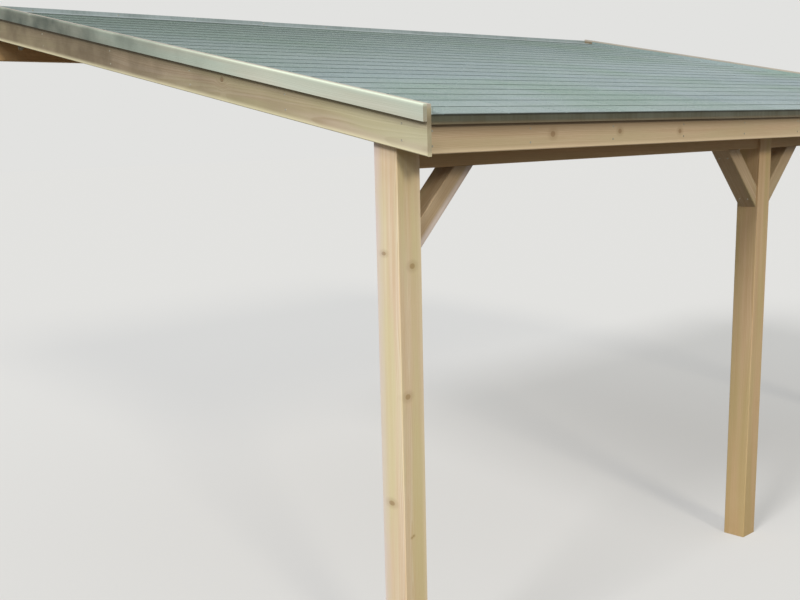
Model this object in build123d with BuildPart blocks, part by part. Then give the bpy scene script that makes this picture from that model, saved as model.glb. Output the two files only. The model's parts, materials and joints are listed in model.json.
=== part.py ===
"""Timber lean-to carport: a low-pitched roof on a wall plate and a row of braced posts.

Millimetres. The origin is the centre of the wall plate's back face. +X runs along the wall,
+Y points into the wall, so the open side looks towards -Y, and +Z is up.
"""

import os
from math import ceil, cos, radians, sin, tan

from build123d import *

os.makedirs("parts", exist_ok=True)

# Driving sizes
POST = 115            # side of a square post
SPACING = 2520        # centre to centre of the posts
POST_FRONT = 3051     # wall to the outer face of the posts
CLEAR_HEIGHT = 2050   # ground to the underside of the header beam
HEADER_WIDTH = 95
HEADER_DEPTH = 125
TENON_WIDTH = 40      # tenons at the ends of the header
TENON_SHOULDER = 20   # header above and below a tenon
TENON_GAP = 3         # end of a tenon to the bottom of its mortise
MORTISE_WEB = 15      # wood left between the two mortises of the middle post
PITCH = 10.65         # roof slope in degrees

BRACE_LEG = 290       # reach of a brace along the post and along the beam
BRACE_DEPTH = 75      # brace size in its own plane
BRACE_WIDTH = 95

RAFTER_WIDTH = 45
RAFTER_DEPTH = 95
RAFTER_MAX = 600      # widest spacing of the rafters
NOTCH = 6             # depth of a rafter's notch at the beam's inner face
PLATE_NOTCH = 12      # and at the wall plate's face
NOGGIN_DEPTH = 70

PLATE_WIDTH = 45      # wall plate
PLATE_DEPTH = 145
ANCHOR_HOLE = 14      # holes for the wall anchors
ANCHOR_END = 150      # end of the plate to its first anchor
ANCHOR_MAX = 700      # widest spacing of the anchors

EAVES = 162           # fascia face ahead of the posts
FASCIA = 20           # fascia thickness
FASCIA_DROP = 19      # fascia below the rafter ends
VERGE = 31            # bargeboard face beyond the end posts
BARGE = 20            # bargeboard thickness
BARGE_HEIGHT = 171    # plumb height of a bargeboard
BARGE_NOSE = 4        # bargeboard ahead of the drip
KERB = 30             # bargeboard above the roof surface
TRIM = 18             # thickness of the strip on a bargeboard
TRIM_HEIGHT = 57
TRIM_ROUND = 5        # rounded upper edge of the strip

DECK = 18
DECK_NOSE = 12        # deck ahead of the fascia
COVERING = 7
COVERING_NOSE = 12    # covering ahead of the drip
DRIP = 3              # metal thickness of the drip
DRIP_DROP = 34        # height of the drip's front
DRIP_LAP = 60         # drip along the deck
FLASHING = 3
FLASHING_RISE = 20    # flashing that shows above the covering
FLASHING_LAP = 75
WALL_GAP = 4          # roof boarding short of the wall
ARRIS = 3             # eased edges

# Sizes that follow
SLOPE = tan(radians(PITCH))
COS = cos(radians(PITCH))
SIN = sin(radians(PITCH))

POST_X = (-SPACING, 0, SPACING)
POST_Y = -POST_FRONT + POST / 2
HEADER_IN = POST_Y + HEADER_WIDTH / 2
FASCIA_OUT = -POST_FRONT - EAVES
FASCIA_IN = FASCIA_OUT + FASCIA
DECK_OUT = FASCIA_OUT - DECK_NOSE
DRIP_OUT = DECK_OUT - DRIP
COVERING_OUT = DRIP_OUT - COVERING_NOSE
BARGE_OUT = DRIP_OUT - BARGE_NOSE

END_X = SPACING + POST / 2       # outer face of an end post
ROOF_X = END_X + VERGE - BARGE   # inner face of a bargeboard

TENON_HEIGHT = HEADER_DEPTH - 2 * TENON_SHOULDER
MORTISE = (POST - MORTISE_WEB) / 2
TENON = MORTISE - TENON_GAP

RAFTER_GAPS = 2 * ceil((ROOF_X - RAFTER_WIDTH / 2) / RAFTER_MAX)
RAFTER_PITCH = (2 * ROOF_X - RAFTER_WIDTH) / RAFTER_GAPS
RAFTER_X = [-ROOF_X + RAFTER_WIDTH / 2 + i * RAFTER_PITCH for i in range(RAFTER_GAPS + 1)]
ANCHOR_GAPS = ceil(2 * (ROOF_X - ANCHOR_END) / ANCHOR_MAX)
ANCHOR_PITCH = 2 * (ROOF_X - ANCHOR_END) / ANCHOR_GAPS

# Heights above the ground, then the ground below the origin.
HEADER_TOP = CLEAR_HEIGHT + HEADER_DEPTH
PLATE_TOP = HEADER_TOP - NOTCH + (-PLATE_WIDTH - HEADER_IN) * SLOPE + PLATE_NOTCH
GROUND = -(PLATE_TOP - PLATE_DEPTH / 2)


def height(level):
    """The Z of a height above the ground."""
    return GROUND + level


def rafter_under(y):
    """Z of the rafters' undersides."""
    return height(HEADER_TOP) - NOTCH + (y - HEADER_IN) * SLOPE


def rafter_top(y):
    return rafter_under(y) + RAFTER_DEPTH / COS


def deck_top(y):
    return rafter_top(y) + DECK / COS


def roof_top(y):
    return deck_top(y) + COVERING / COS


def barge_top(y):
    return roof_top(y) + KERB


# Posts, up to the top of the beam and mortised for its tenons
HEADER_MID = height(CLEAR_HEIGHT + HEADER_DEPTH / 2)
for name, x, ways in zip(("post_left", "post_middle", "post_right"), POST_X, ((1,), (-1, 1), (-1,))):
    with BuildPart() as post:
        with BuildSketch(Plane.XY.offset(GROUND)):
            with Locations((x, POST_Y)):
                Rectangle(POST, POST)
        extrude(amount=HEADER_TOP)
        chamfer(post.edges().filter_by(Axis.Z), length=ARRIS)
        for way in ways:
            with BuildSketch(Plane.YZ.offset(x + way * POST / 2)):
                with Locations((POST_Y, HEADER_MID)):
                    Rectangle(TENON_WIDTH, TENON_HEIGHT)
            extrude(amount=-way * MORTISE, mode=Mode.SUBTRACT)
    post.part.label = name
    export_step(post.part, f"parts/{name}.step")

# Header beam, a length in each bay with a stub tenon at both ends
HEADER_LENGTH = SPACING - POST
for name, x in (("header_left", -SPACING / 2), ("header_right", SPACING / 2)):
    with BuildPart() as header:
        with BuildSketch(Plane.YZ.offset(x)):
            with Locations((POST_Y, HEADER_MID)):
                Rectangle(HEADER_WIDTH, HEADER_DEPTH)
        extrude(amount=HEADER_LENGTH / 2, both=True)
        chamfer(header.edges().filter_by(Axis.X).group_by(Axis.Z)[0], length=ARRIS)
        with BuildSketch(Plane.YZ.offset(x)):
            with Locations((POST_Y, HEADER_MID)):
                Rectangle(TENON_WIDTH, TENON_HEIGHT)
        extrude(amount=HEADER_LENGTH / 2 + TENON, both=True)
    header.part.label = name
    export_step(header.part, f"parts/{name}.step")

# Braces: struts at 45 degrees, cut plumb at the post and level at the beam
UNDER_BEAM = height(CLEAR_HEIGHT)
BRACE_CUT = BRACE_DEPTH * 2**0.5
for name, x, way in (
    ("brace_left", -SPACING, 1),
    ("brace_mid_left", 0, -1),
    ("brace_mid_right", 0, 1),
    ("brace_right", SPACING, -1),
):
    face = x + way * POST / 2
    with BuildPart() as brace:
        with BuildSketch(Plane.XZ.offset(-POST_Y)):
            with BuildLine():
                Polyline(
                    (face, UNDER_BEAM - BRACE_LEG),
                    (face + way * BRACE_LEG, UNDER_BEAM),
                    (face + way * (BRACE_LEG - BRACE_CUT), UNDER_BEAM),
                    (face, UNDER_BEAM - BRACE_LEG + BRACE_CUT),
                    close=True,
                )
            make_face()
        extrude(amount=BRACE_WIDTH / 2, both=True)
        chamfer(brace.edges().filter_by(Axis((0, 0, 0), (way, 0, 1))), length=ARRIS)
    brace.part.label = name
    export_step(brace.part, f"parts/{name}.step")

# Wall plate, with a row of anchor holes
with BuildPart() as wall_plate:
    with BuildSketch(Plane.YZ.offset(-ROOF_X)):
        with Locations((-PLATE_WIDTH / 2, 0)):
            Rectangle(PLATE_WIDTH, PLATE_DEPTH)
    extrude(amount=2 * ROOF_X)
    chamfer(wall_plate.edges().filter_by(Axis.X).group_by(Axis.Z)[0].sort_by(Axis.Y)[0], length=ARRIS)
    with BuildSketch(Plane.XZ):
        with GridLocations(ANCHOR_PITCH, 0, ANCHOR_GAPS + 1, 1):
            Circle(ANCHOR_HOLE / 2)
    extrude(amount=PLATE_WIDTH, mode=Mode.SUBTRACT)
wall_plate.part.label = "wall_plate"
export_step(wall_plate.part, "parts/wall_plate.step")

# Rafters, notched over a post or the beam and over the wall plate, plumb cut behind the fascia
for number, x in enumerate(RAFTER_X, 1):
    on_post = min(abs(x - post_x) for post_x in POST_X) < (POST + RAFTER_WIDTH) / 2
    seat = POST if on_post else HEADER_WIDTH
    seat_out = POST_Y - seat / 2
    seat_in = POST_Y + seat / 2
    with BuildPart() as rafter:
        with BuildSketch(Plane.YZ.offset(x)):
            with BuildLine():
                Polyline(
                    (FASCIA_IN, rafter_under(FASCIA_IN)),
                    (seat_out, rafter_under(seat_out)),
                    (seat_out, height(HEADER_TOP)),
                    (seat_in, height(HEADER_TOP)),
                    (seat_in, rafter_under(seat_in)),
                    (-PLATE_WIDTH, rafter_under(-PLATE_WIDTH)),
                    (-PLATE_WIDTH, height(PLATE_TOP)),
                    (-WALL_GAP, height(PLATE_TOP)),
                    (-WALL_GAP, rafter_top(-WALL_GAP)),
                    (FASCIA_IN, rafter_top(FASCIA_IN)),
                    close=True,
                )
            make_face()
        extrude(amount=RAFTER_WIDTH / 2, both=True)
    rafter.part.label = f"rafter_{number}"
    export_step(rafter.part, f"parts/rafter_{number}.step")

# Noggins: blocking square to the slope, halfway between beam and wall
NOGGIN_Y = POST_Y / 2
for number, x in enumerate(RAFTER_X[:-1], 1):
    with BuildPart() as noggin:
        with BuildSketch(Plane.YZ.offset(x + RAFTER_WIDTH / 2)):
            with BuildLine():
                Polyline(
                    (NOGGIN_Y, rafter_top(NOGGIN_Y)),
                    (NOGGIN_Y + RAFTER_WIDTH * COS, rafter_top(NOGGIN_Y + RAFTER_WIDTH * COS)),
                    (
                        NOGGIN_Y + RAFTER_WIDTH * COS + NOGGIN_DEPTH * SIN,
                        rafter_top(NOGGIN_Y + RAFTER_WIDTH * COS) - NOGGIN_DEPTH * COS,
                    ),
                    (NOGGIN_Y + NOGGIN_DEPTH * SIN, rafter_top(NOGGIN_Y) - NOGGIN_DEPTH * COS),
                    close=True,
                )
            make_face()
        extrude(amount=RAFTER_PITCH - RAFTER_WIDTH)
    noggin.part.label = f"noggin_{number}"
    export_step(noggin.part, f"parts/noggin_{number}.step")

# Roof deck
with BuildPart() as roof_deck:
    with BuildSketch(Plane.YZ):
        with BuildLine():
            Polyline(
                (DECK_OUT, rafter_top(DECK_OUT)),
                (-WALL_GAP, rafter_top(-WALL_GAP)),
                (-WALL_GAP, deck_top(-WALL_GAP)),
                (DECK_OUT, deck_top(DECK_OUT)),
                close=True,
            )
        make_face()
    extrude(amount=ROOF_X, both=True)
roof_deck.part.label = "roof_deck"
export_step(roof_deck.part, "parts/roof_deck.step")

# Fascia, its top edge planed to the slope
with BuildPart() as fascia:
    with BuildSketch(Plane.YZ):
        with BuildLine():
            Polyline(
                (FASCIA_OUT, rafter_under(FASCIA_IN) - FASCIA_DROP),
                (FASCIA_IN, rafter_under(FASCIA_IN) - FASCIA_DROP),
                (FASCIA_IN, rafter_top(FASCIA_IN)),
                (FASCIA_OUT, rafter_top(FASCIA_OUT)),
                close=True,
            )
        make_face()
    extrude(amount=ROOF_X, both=True)
    chamfer(fascia.edges().filter_by(Axis.X).group_by(Axis.Z)[0].sort_by(Axis.Y)[0], length=ARRIS)
fascia.part.label = "fascia"
export_step(fascia.part, "parts/fascia.step")

# Eaves drip: one folded strip, on the deck and down over its edge
with BuildPart() as eaves_drip:
    with BuildSketch(Plane.YZ):
        with BuildLine():
            Polyline(
                (DRIP_OUT, deck_top(DECK_OUT) + DRIP - DRIP_DROP),
                (DECK_OUT, deck_top(DECK_OUT) + DRIP - DRIP_DROP),
                (DECK_OUT, deck_top(DECK_OUT)),
                (DECK_OUT + DRIP_LAP, deck_top(DECK_OUT + DRIP_LAP)),
                (DECK_OUT + DRIP_LAP, deck_top(DECK_OUT + DRIP_LAP) + DRIP),
                (DRIP_OUT, deck_top(DRIP_OUT) + DRIP),
                close=True,
            )
        make_face()
    extrude(amount=ROOF_X, both=True)
eaves_drip.part.label = "eaves_drip"
export_step(eaves_drip.part, "parts/eaves_drip.step")

# Roof covering, stepped over the drip
with BuildPart() as roof_covering:
    with BuildSketch(Plane.YZ):
        with BuildLine():
            Polyline(
                (COVERING_OUT, deck_top(COVERING_OUT) + DRIP),
                (DECK_OUT + DRIP_LAP, deck_top(DECK_OUT + DRIP_LAP) + DRIP),
                (DECK_OUT + DRIP_LAP, deck_top(DECK_OUT + DRIP_LAP)),
                (-WALL_GAP, deck_top(-WALL_GAP)),
                (-WALL_GAP, roof_top(-WALL_GAP)),
                (COVERING_OUT, roof_top(COVERING_OUT)),
                close=True,
            )
        make_face()
    extrude(amount=ROOF_X, both=True)
roof_covering.part.label = "roof_covering"
export_step(roof_covering.part, "parts/roof_covering.step")

# Wall flashing: up the wall and down over the covering
with BuildPart() as wall_flashing:
    with BuildSketch(Plane.YZ):
        with BuildLine():
            Polyline(
                (0, roof_top(0)),
                (-FLASHING_LAP, roof_top(-FLASHING_LAP)),
                (-FLASHING_LAP, roof_top(-FLASHING_LAP) + FLASHING),
                (-FLASHING, roof_top(-FLASHING) + FLASHING),
                (-FLASHING, roof_top(0) + FLASHING_RISE),
                (0, roof_top(0) + FLASHING_RISE),
                close=True,
            )
        make_face()
    extrude(amount=ROOF_X, both=True)
wall_flashing.part.label = "wall_flashing"
export_step(wall_flashing.part, "parts/wall_flashing.step")

# Bargeboards and the raised strips on them
UP_THE_ROOF = Axis((0, 0, 0), (0, COS, SIN))
for side, way in (("left", -1), ("right", 1)):
    with BuildPart() as bargeboard:
        with BuildSketch(Plane.YZ.offset(way * ROOF_X)):
            with BuildLine():
                Polyline(
                    (BARGE_OUT, barge_top(BARGE_OUT) - BARGE_HEIGHT),
                    (0, barge_top(0) - BARGE_HEIGHT),
                    (0, barge_top(0)),
                    (BARGE_OUT, barge_top(BARGE_OUT)),
                    close=True,
                )
            make_face()
        extrude(amount=way * BARGE)
        outer_edges = bargeboard.edges().filter_by(UP_THE_ROOF).sort_by(Axis.X)[:: -way][:2]
        chamfer(outer_edges.sort_by(Axis.Z)[0], length=ARRIS)
    bargeboard.part.label = f"bargeboard_{side}"
    export_step(bargeboard.part, f"parts/bargeboard_{side}.step")

    with BuildPart() as verge_trim:
        with BuildSketch(Plane.YZ.offset(way * (ROOF_X + BARGE))):
            with BuildLine():
                Polyline(
                    (BARGE_OUT, barge_top(BARGE_OUT) - TRIM_HEIGHT),
                    (0, barge_top(0) - TRIM_HEIGHT),
                    (0, barge_top(0)),
                    (BARGE_OUT, barge_top(BARGE_OUT)),
                    close=True,
                )
            make_face()
        extrude(amount=way * TRIM)
        outer_edges = verge_trim.edges().filter_by(UP_THE_ROOF).sort_by(Axis.X)[:: -way][:2]
        fillet(outer_edges.sort_by(Axis.Z)[-1], radius=TRIM_ROUND)
    verge_trim.part.label = f"verge_trim_{side}"
    export_step(verge_trim.part, f"parts/verge_trim_{side}.step")
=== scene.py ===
# %% [markdown]
# A timber lean-to carport, dressed for its portrait.
# The joinery, that is posts, beam, braces, rafters and boards, comes ready measured in the
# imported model. This lesson gives it its surfaces: pale treated softwood with knots, a green
# mineral felt roof laid shingle by shingle, boarding under it, folded metal and screws.

# %% Load the measured frame
import json
import math
import random

import bmesh
import bpy
from mathutils import Euler, Matrix, Vector


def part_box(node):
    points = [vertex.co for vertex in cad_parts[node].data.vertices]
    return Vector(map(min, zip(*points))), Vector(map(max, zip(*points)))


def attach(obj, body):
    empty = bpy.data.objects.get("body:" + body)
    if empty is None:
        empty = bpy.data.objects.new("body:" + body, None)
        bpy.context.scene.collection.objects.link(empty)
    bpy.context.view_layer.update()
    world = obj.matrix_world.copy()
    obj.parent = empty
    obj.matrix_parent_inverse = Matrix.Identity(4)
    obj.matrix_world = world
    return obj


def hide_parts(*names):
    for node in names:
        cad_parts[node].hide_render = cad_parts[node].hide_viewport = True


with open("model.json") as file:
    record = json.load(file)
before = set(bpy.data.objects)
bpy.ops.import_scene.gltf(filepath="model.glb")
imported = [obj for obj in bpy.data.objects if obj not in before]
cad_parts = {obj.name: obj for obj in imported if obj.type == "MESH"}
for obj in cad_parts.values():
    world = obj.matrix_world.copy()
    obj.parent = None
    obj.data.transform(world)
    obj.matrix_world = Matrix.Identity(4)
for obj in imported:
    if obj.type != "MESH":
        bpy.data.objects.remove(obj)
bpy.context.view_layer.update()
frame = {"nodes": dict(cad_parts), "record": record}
nodes = frame["nodes"]
print("nodes in the frame:", len(nodes))

# %% [markdown]
# From those of the roof deck and the posts come the line of the eaves, the run of the roof
# and the ground. RISE is how much the roof climbs for each metre on the level, and LEVEL how
# much of each metre of slope lies on the level.

# %% Read the main places off the frame
deck_low, deck_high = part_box("roof_deck")
skin_low, skin_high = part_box("roof_covering")
fascia_low, fascia_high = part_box("fascia")

PITCH = math.radians(10.65)
RISE, LEVEL = math.tan(PITCH), math.cos(PITCH)
DECK_THICK = 0.018
SKIN_THICK = 0.007
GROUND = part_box("post_left")[0].z
ROOF_LEFT, ROOF_RIGHT = deck_low.x, deck_high.x
ROOF_WIDE = ROOF_RIGHT - ROOF_LEFT
RAFTERS = sorted((n for n in nodes if n.startswith("rafter_")), key=lambda n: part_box(n)[0].x)
RAFTER_X = [(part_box(n)[0].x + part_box(n)[1].x) / 2 for n in RAFTERS]
print("roof from", round(ROOF_LEFT, 3), "to", round(ROOF_RIGHT, 3), "ground at", round(GROUND, 3))

# %% [markdown]
# Laying a roof is easier in the roof's own axes: X along the eaves, Y up the slope, Z off the
# boarding. One matrix carries such a place into the frame's axes. The shingles start a hair
# up the slope, because their front edge leans back while the skin they replace is cut plumb.

# %% The roof's own axes
DECK_EAVE = Vector((0, deck_low.y, deck_low.z + DECK_THICK / LEVEL))
ROOF_FRAME = Matrix.Translation(DECK_EAVE) @ Matrix.Rotation(PITCH, 4, "X")
ROOF_START = (skin_low.y - deck_low.y) / LEVEL + SKIN_THICK * RISE
ROOF_END = (skin_high.y - deck_low.y) / LEVEL
DECK_RUN = (deck_high.y - deck_low.y) / LEVEL - DECK_THICK * RISE
ON_SLOPE = (PITCH, 0, 0)
print("shingles run", round(ROOF_END - ROOF_START, 3), "up the slope")

# %% [markdown]
# Materials in Blender are little graphs of nodes. A helper that adds a node and fills its
# sockets in one line keeps the graphs readable. Colours are written as they look on screen,
# from 0 to 255, and turned into the linear values that the shader wants.

# %% Colours and nodes


def paint(red, green, blue):
    """A colour as seen on screen, as the shader wants it."""
    return tuple(
        (c / 255 / 12.92 if c <= 10 else ((c / 255 + 0.055) / 1.055) ** 2.4) for c in (red, green, blue)
    ) + (1.0,)


def plug(tree, socket, value):
    """Links a socket to another one, or sets its value."""
    if isinstance(value, bpy.types.NodeSocket):
        tree.links.new(value, socket)
    else:
        socket.default_value = value


def put(tree, kind, inputs=None, **options):
    """Adds a node, sets its options, and fills or links its inputs."""
    made = tree.nodes.new("ShaderNode" + kind)
    for key, value in options.items():
        setattr(made, key, value)
    for key, value in (inputs or {}).items():
        plug(tree, made.inputs[key], value)
    return made


# %% [markdown]
# Three kinds of sum come back again and again: one on numbers, one on places, and one that
# carries a value from one range into another and holds it there. The last turns soft noise
# into edges, patches and masks.

# %% Sums on numbers and places


def sum_up(tree, operation, first, second=0.0, third=0.0, clamp=False):
    """A Math node's result."""
    made = put(tree, "Math", {0: first, 1: second, 2: third}, operation=operation, use_clamp=clamp)
    return made.outputs[0]


def times(tree, first, second, plus=0.0, clamp=False):
    """Two numbers multiplied, and a third added."""
    return sum_up(tree, "MULTIPLY_ADD", first, second, plus, clamp)


def vector_sum(tree, operation, first, second=(0, 0, 0)):
    """A Vector Math node's vector result."""
    return put(tree, "VectorMath", {0: first, 1: second}, operation=operation).outputs["Vector"]


def length_of(tree, vector):
    return put(tree, "VectorMath", {0: vector}, operation="LENGTH").outputs["Value"]


def part_of(tree, vector, axis):
    """One of the three numbers of a place."""
    return put(tree, "SeparateXYZ", {"Vector": vector}).outputs[axis]


def ramp(tree, value, low, high, to_low=0.0, to_high=1.0, smooth=False):
    """The value carried from one range to another and held inside it."""
    kind = "SMOOTHSTEP" if smooth else "LINEAR"
    spread = {"Value": value, "From Min": low, "From Max": high, "To Min": to_low, "To Max": to_high}
    return put(tree, "MapRange", spread, interpolation_type=kind).outputs["Result"]


# %% [markdown]
# Colours are laid over each other by a share, as glazes are. Noise gives the share. Its scale
# has one number for each axis, so the same cloud becomes a fibre when two of them are large.

# %% Glazes and noise
MIX_FIRST, MIX_SECOND, MIX_RESULT = 6, 7, 2


def glaze(tree, colour, *coats):
    """A colour with others laid over it in turn, each a pair of its share and itself."""
    for share, coat in coats:
        mixed = {"Factor": share, MIX_FIRST: colour, MIX_SECOND: coat}
        colour = put(tree, "Mix", mixed, data_type="RGBA").outputs[MIX_RESULT]
    return colour


def noise(tree, place, scale, detail=2.0, roughness=0.5):
    """Noise whose grain is stretched by a scale for each axis."""
    stretched = vector_sum(tree, "MULTIPLY", place, scale)
    settings = {"Vector": stretched, "Scale": 1.0, "Detail": detail, "Roughness": roughness}
    return put(tree, "TexNoise", settings)


def cloud(tree, place, scale, low, high, detail=2.0):
    """Noise cut to a mask between two of its values."""
    return ramp(tree, noise(tree, place, scale, detail).outputs["Fac"], low, high)


# %% [markdown]
# An effect that several finishes share is a node group, built once and placed in each with its
# own numbers. These helpers make an empty group, place one, and lay one over the colour that a
# material has so far, as a glaze goes over a dry coat.

# %% Groups and materials


def new_group(name, takes, gives=("Color",)):
    """An empty node group. Each input has a number, a colour or the kind of its socket."""
    group = bpy.data.node_groups.new(name, "ShaderNodeTree")
    for label, value in takes.items():
        given = not isinstance(value, str)
        kind = ("Float" if isinstance(value, float) else "Color") if given else value
        socket = group.interface.new_socket(label, in_out="INPUT", socket_type="NodeSocket" + kind)
        if given:
            socket.default_value = value
    for label in gives:
        kind = "Color" if label == "Color" else "Float"
        group.interface.new_socket(label, in_out="OUTPUT", socket_type="NodeSocket" + kind)
    return group, group.nodes.new("NodeGroupInput").outputs, group.nodes.new("NodeGroupOutput").inputs


def give(tree, sockets, **results):
    """Sends results out of a group."""
    for name, result in results.items():
        plug(tree, sockets[name], result)


def use_group(tree, group, inputs):
    made = put(tree, "Group", node_tree=group)
    for key, value in inputs.items():
        plug(tree, made.inputs[key], value)
    return made.outputs


def new_material(name):
    """An empty material, its graph and its shader."""
    material = bpy.data.materials.new(name)
    material.use_nodes = True
    return material, material.node_tree, material.node_tree.nodes["Principled BSDF"]


def lay_over(material, group, inputs):
    """Puts a group between a material's colour and its shader."""
    tree = material.node_tree
    base = tree.nodes["Principled BSDF"].inputs["Base Color"]
    result = use_group(tree, group, {"Under": base.links[0].from_socket, **inputs})["Color"]
    tree.links.new(result, base)


def object_place(material):
    """The place of a point in the carport's own axes."""
    return put(material.node_tree, "TexCoord").outputs["Object"]


def take_finish(tree, surface, result, strength, depth):
    """Feeds a finish group's colour, roughness and height to the shader."""
    tree.links.new(result["Color"], surface.inputs["Base Color"])
    tree.links.new(result["Roughness"], surface.inputs["Roughness"])
    bump = put(tree, "Bump", {"Height": result["Height"], "Strength": strength, "Distance": depth})
    tree.links.new(bump.outputs["Normal"], surface.inputs["Normal"])


# %% [markdown]
# Softwood is a stack of cones round the tree's pith. A board cuts through them, so its face
# shows long arches, its side shows straight lines, and branches show as knots with the grain
# flowing round them. The group below works that out in the board's own axes: X runs along the
# grain, and the pith lies along Y = Z = 0. A picture of wood would repeat on every post. This
# solid pattern is different on each, and it turns the corners of a post as real grain does.

# %% The softwood group and its knots
RING_WIDTH = 0.0045
FINISH = ("Color", "Roughness", "Height")
WOOD_TAKES = {
    "Place": "Vector",
    "Facing": "Vector",
    "Pale": paint(228, 208, 170),
    "Dark": paint(186, 150, 100),
    "Tint": paint(206, 204, 158),
    "Knot": paint(126, 92, 58),
    "Ring width": RING_WIDTH,
    "Streaks": 0.5,
    "Knots": 0.4,
}
wood, wood_in, wood_out = new_group("softwood", WOOD_TAKES, FINISH)
KNOT_GAP = (0.34, 0.085, 0.085)
KNOT_SIZE = 0.013

place = wood_in["Place"]
cell = vector_sum(wood, "DIVIDE", place, KNOT_GAP)
branch = put(wood, "TexVoronoi", {"Vector": cell, "Scale": 1.0, "Randomness": 0.85}, feature="F1")
away = vector_sum(wood, "SUBTRACT", branch.outputs["Position"], cell)
from_knot = length_of(wood, vector_sum(wood, "MULTIPLY", away, KNOT_GAP))
chance = put(wood, "SeparateColor", {"Color": branch.outputs["Color"]}).outputs["Red"]
rarest = sum_up(wood, "SUBTRACT", 1.0, wood_in["Knots"])
knot_size = ramp(wood, chance, rarest, 1.0, -0.004, KNOT_SIZE)
inside = sum_up(wood, "SUBTRACT", knot_size, from_knot)
in_knot = ramp(wood, inside, -0.001, 0.0015)
rim = ramp(wood, sum_up(wood, "ABSOLUTE", inside), 0.0005, 0.0028, 1.0, 0.0)
rim = times(wood, rim, ramp(wood, knot_size, 0.0, 0.004))
near_knot = ramp(wood, from_knot, 0.0, 0.055, 1.0, 0.0, True)
swell = times(wood, near_knot, ramp(wood, knot_size, 0.0, 0.01))
print("knots of up to", KNOT_SIZE * 2000, "mm across")

# %% [markdown]
# The years of growth are the distance from the pith, bent a little along the trunk and pushed
# out round each knot. Within a year the wood darkens slowly and then starts pale again at
# once. Some years are wide and some narrow, which a one-dimensional noise looks after.

# %% Rings of the years
GRAIN_BEND = 0.05
TREE_TAPER = 0.012
KNOT_PUSH = 0.014

wander = noise(wood, place, (0.9, 4.0, 4.0), 1.5).outputs["Color"]
bend = vector_sum(wood, "SUBTRACT", wander, (0.5, 0.5, 0.5))
bent = vector_sum(wood, "ADD", place, vector_sum(wood, "MULTIPLY", bend, (0.0, GRAIN_BEND, GRAIN_BEND)))
from_pith = length_of(wood, vector_sum(wood, "MULTIPLY", bent, (0.0, 1.0, 1.0)))
from_pith = times(wood, part_of(wood, place, "X"), TREE_TAPER, from_pith)
from_pith = times(wood, swell, KNOT_PUSH, from_pith)
years = sum_up(wood, "DIVIDE", from_pith, wood_in["Ring width"])
uneven = put(wood, "TexNoise", {"W": years, "Scale": 0.35, "Detail": 2.0}, noise_dimensions="1D")
season = sum_up(wood, "FRACT", times(wood, uneven.outputs["Fac"], 2.2, years))
summer = ramp(wood, season, 0.25, 0.9, 0.0, 1.0, True)
late_wood = times(wood, summer, ramp(wood, season, 0.93, 1.0, 1.0, 0.0))
print("rings about", RING_WIDTH * 1000, "mm wide")

# %% [markdown]
# Over the rings lie broad streaks along the grain, slow patches where the treatment left a
# greenish tint, and the fibres. Sawn ends take up more of everything and are darker.

# %% Streaks, tint, ends and relief
streak = cloud(wood, place, (1.1, 38.0, 38.0), 0.38, 0.66, 3.0)
patch = cloud(wood, place, (1.3, 13.0, 13.0), 0.42, 0.62)
fibre = noise(wood, place, (22.0, 820.0, 820.0), 2.0).outputs["Fac"]

share = times(wood, late_wood, 0.42)
share = times(wood, times(wood, streak, wood_in["Streaks"]), 0.75, share)
share = times(wood, swell, 0.22, share)
share = times(wood, sum_up(wood, "SUBTRACT", fibre, 0.5), 0.35, share, clamp=True)
end_grain = ramp(wood, sum_up(wood, "ABSOLUTE", part_of(wood, wood_in["Facing"], "X")), 0.75, 0.95)
colour = glaze(
    wood,
    wood_in["Pale"],
    (share, wood_in["Dark"]),
    (times(wood, patch, 0.6), wood_in["Tint"]),
    (times(wood, in_knot, 0.62), wood_in["Knot"]),
    (times(wood, rim, 0.45), paint(84, 58, 38)),
    (times(wood, end_grain, 0.4), paint(150, 122, 84)),
)
rough = ramp(wood, fibre, 0.3, 0.7, 0.56, 0.74)
height = times(wood, fibre, 0.5, times(wood, late_wood, 0.35))
height = times(wood, rim, -0.8, height)
give(wood, wood_out, Color=colour, Roughness=rough, Height=height)
print("softwood group:", len(wood.nodes), "nodes")

# %% [markdown]
# Each stick of timber needs its own cut from the tree. A Mapping node set to Texture undoes a
# placement: it carries the object's coordinates into the stick's own axes. So one function
# makes every timber material from a middle, a direction and a random place for the pith.

# %% One function for all timber
GRAIN_X = Euler((0, 0, 0))
GRAIN_Z = Euler((0, -math.pi / 2, 0))
GRAIN_SLOPE = Euler((0, -PITCH, math.pi / 2))
GRAIN_BRACE_UP = Euler((0, -math.pi / 4, 0))
GRAIN_BRACE_DOWN = Euler((0, -3 * math.pi / 4, 0))
TREE_STEP = 3.7
GRAIN_BUMP, GRAIN_DEPTH = 0.5, 0.0012
WOOD_GLOSS = 0.35


def middle_of(node):
    low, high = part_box(node)
    return (low + high) / 2


def turn_back(tree, vector, spin, start=(0, 0, 0)):
    """A place or a direction, carried into the axes of a piece that was turned by spin."""
    turned = {"Vector": vector, "Location": start, "Rotation": spin}
    return put(tree, "Mapping", turned, vector_type="TEXTURE").outputs[0]


def timber(name, middle, grain, pith, number, looks):
    """A softwood material for one stick. pith is the tree's heart, seen from the stick's middle."""
    material, tree, surface = new_material(name)
    start = middle + grain.to_matrix() @ Vector((-TREE_STEP * number, *pith))
    spot = put(tree, "TexCoord").outputs
    place = turn_back(tree, spot["Object"], grain, start)
    facing = turn_back(tree, spot["Normal"], grain)
    grown = use_group(tree, wood, {"Place": place, "Facing": facing, **looks})
    take_finish(tree, surface, grown, GRAIN_BUMP, GRAIN_DEPTH)
    surface.inputs["Specular IOR Level"].default_value = WOOD_GLOSS
    return material, place


def dress(node, material):
    """Gives a CAD node one material."""
    if not nodes[node].material_slots:
        nodes[node].data.materials.append(material)
    for slot in nodes[node].material_slots:
        slot.material = material


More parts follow.
